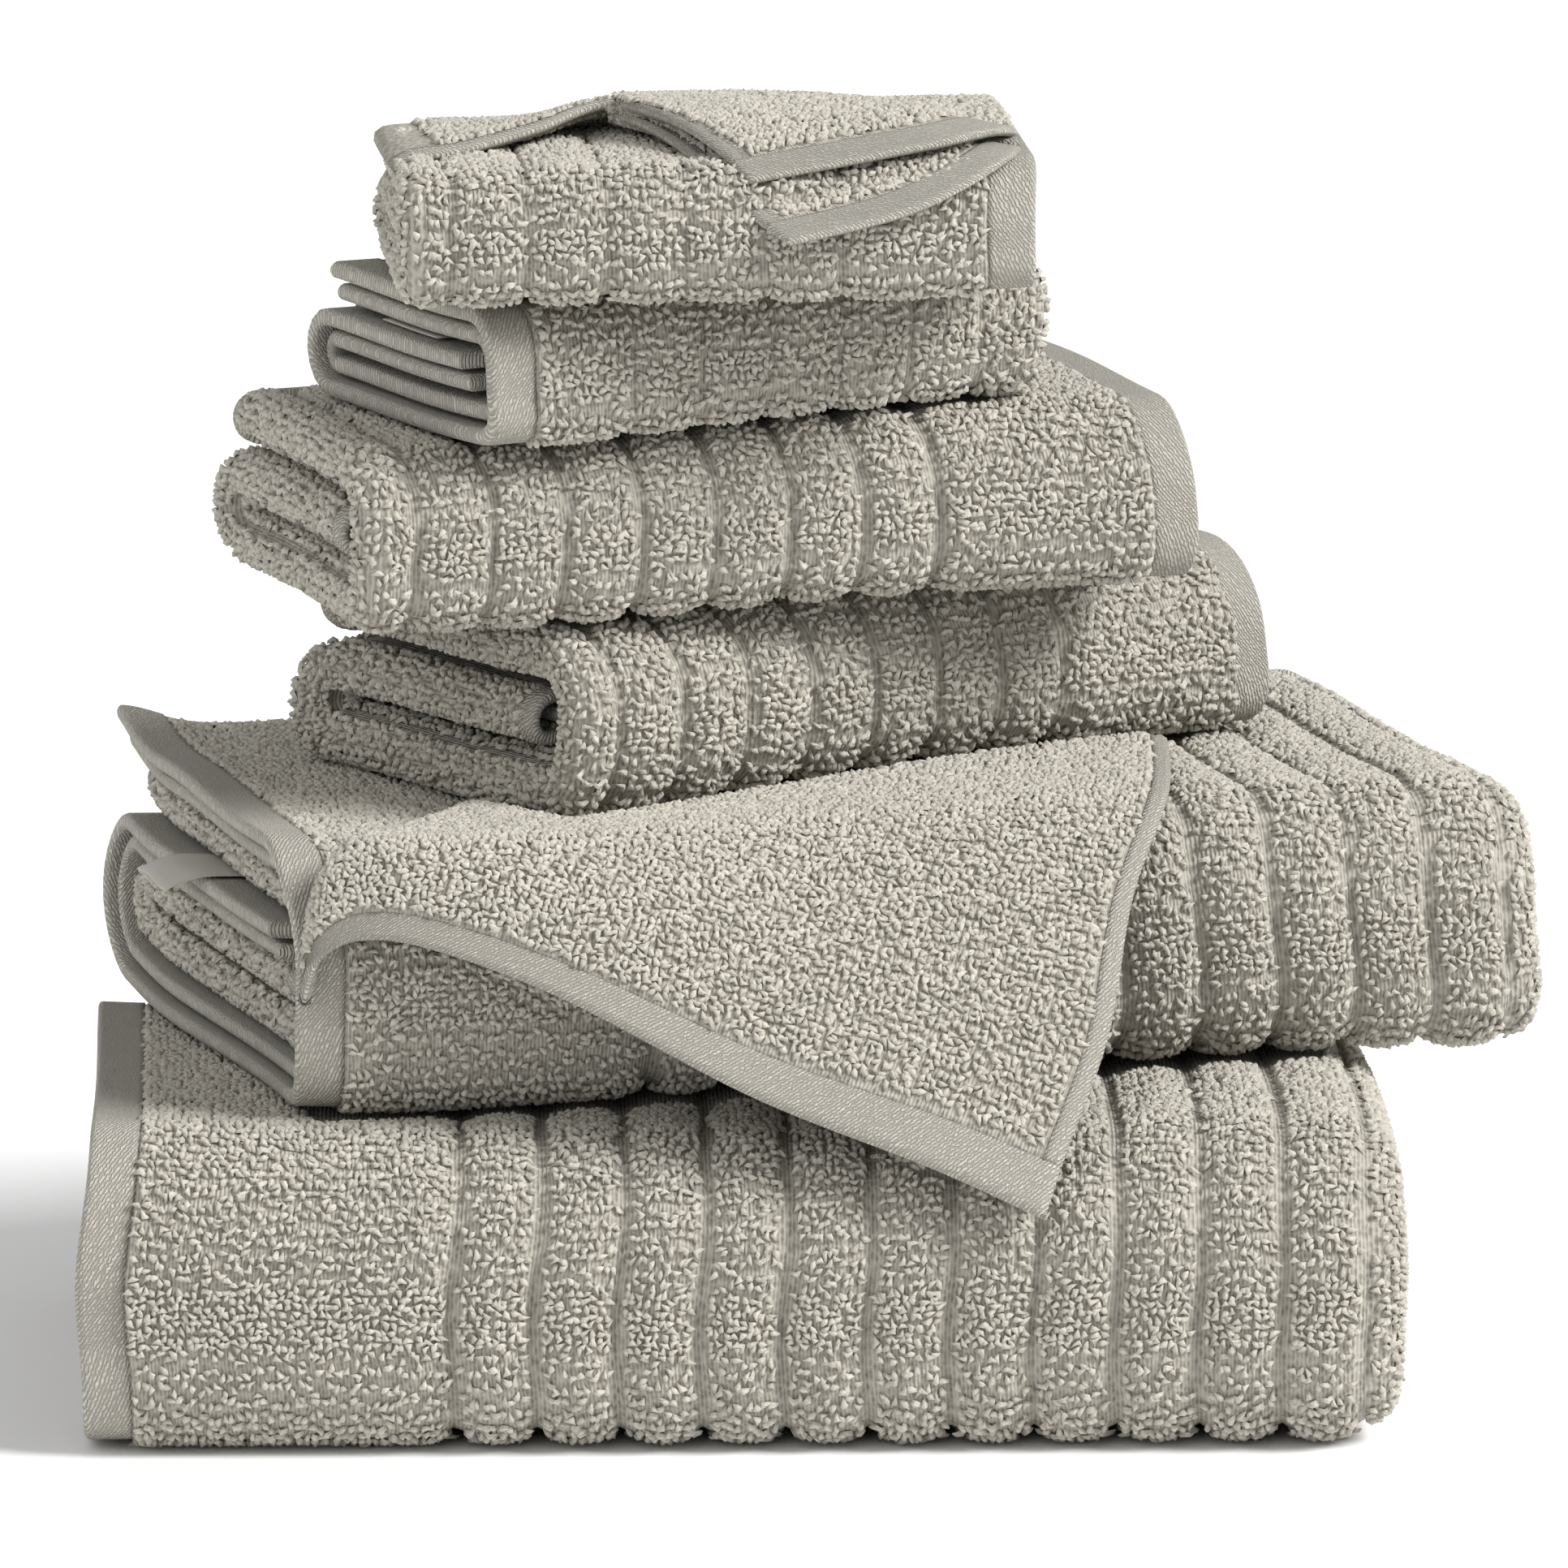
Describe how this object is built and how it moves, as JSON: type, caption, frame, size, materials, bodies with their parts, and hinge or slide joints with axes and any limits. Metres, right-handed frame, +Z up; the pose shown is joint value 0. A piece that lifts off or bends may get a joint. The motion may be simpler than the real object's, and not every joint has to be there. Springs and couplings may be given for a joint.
{
  "type": "bath towel set",
  "caption": "Stack of folded ribbed terry towels: bath towels at the bottom, hand towels, then washcloths, with flat-woven hems and two turned-over corners.",
  "frame": {"origin": "on the surface the stack rests on, under the middle of the whole set's bounding box", "axes": "+Z up through the stack, the lower bath towel's long rounded front fold faces -Y, and its hemmed end is at -X"},
  "size_m": [0.391, 0.3434, 0.343],
  "materials": {
    "terry_pile": "looped cotton terry in ribs, matt",
    "flat_woven_hem": "flat twill-woven cotton, matt with a slight sheen",
    "sewing_thread": "matt lock-stitch thread",
    "satin_label": "satin ribbon, blank"
  },
  "bodies": {
    "bath_towel_lower": {"bath_towel_lower_terry": "terry_pile", "bath_towel_lower_outer_hem": "flat_woven_hem", "bath_towel_lower_inner_hem": "flat_woven_hem", "bath_towel_lower_side_hems": "flat_woven_hem", "bath_towel_lower_hem_stitching": "sewing_thread", "bath_towel_lower_care_label": "satin_label"},
    "bath_towel_upper": {"bath_towel_upper_terry": "terry_pile", "bath_towel_upper_outer_hem": "flat_woven_hem", "bath_towel_upper_inner_hem": "flat_woven_hem", "bath_towel_upper_side_hems": "flat_woven_hem", "bath_towel_upper_hem_stitching": "sewing_thread", "bath_towel_upper_care_label": "satin_label", "bath_towel_upper_turned_corner": "terry_pile"},
    "hand_towel_lower": {"hand_towel_lower_terry": "terry_pile", "hand_towel_lower_outer_hem": "flat_woven_hem", "hand_towel_lower_inner_hem": "flat_woven_hem", "hand_towel_lower_side_hems": "flat_woven_hem", "hand_towel_lower_hem_stitching": "sewing_thread", "hand_towel_lower_care_label": "satin_label"},
    "hand_towel_upper": {"hand_towel_upper_terry": "terry_pile", "hand_towel_upper_outer_hem": "flat_woven_hem", "hand_towel_upper_inner_hem": "flat_woven_hem", "hand_towel_upper_side_hems": "flat_woven_hem", "hand_towel_upper_hem_stitching": "sewing_thread", "hand_towel_upper_care_label": "satin_label"},
    "washcloth_lower": {"washcloth_lower_terry": "terry_pile", "washcloth_lower_outer_hem": "flat_woven_hem", "washcloth_lower_inner_hem": "flat_woven_hem", "washcloth_lower_side_hems": "flat_woven_hem", "washcloth_lower_hem_stitching": "sewing_thread", "washcloth_lower_care_label": "satin_label"},
    "washcloth_upper": {"washcloth_upper_terry": "terry_pile", "washcloth_upper_outer_hem": "flat_woven_hem", "washcloth_upper_inner_hem": "flat_woven_hem", "washcloth_upper_side_hems": "flat_woven_hem", "washcloth_upper_hem_stitching": "sewing_thread", "washcloth_upper_care_label": "satin_label", "washcloth_upper_turned_corner": "terry_pile"}
  },
  "joints": [
    {"name": "bath_towel_upper_lift", "type": "slide", "parent": "bath_towel_lower", "child": "bath_towel_upper", "axis": [0, 0, 1], "range_m": [0, 0.15]},
    {"name": "hand_towel_lower_lift", "type": "slide", "parent": "bath_towel_upper", "child": "hand_towel_lower", "axis": [0, 0, 1], "range_m": [0, 0.15]},
    {"name": "hand_towel_upper_lift", "type": "slide", "parent": "hand_towel_lower", "child": "hand_towel_upper", "axis": [0, 0, 1], "range_m": [0, 0.15]},
    {"name": "washcloth_lower_lift", "type": "slide", "parent": "hand_towel_upper", "child": "washcloth_lower", "axis": [0, 0, 1], "range_m": [0, 0.15]},
    {"name": "washcloth_upper_lift", "type": "slide", "parent": "washcloth_lower", "child": "washcloth_upper", "axis": [0, 0, 1], "range_m": [0, 0.15]}
  ]
}
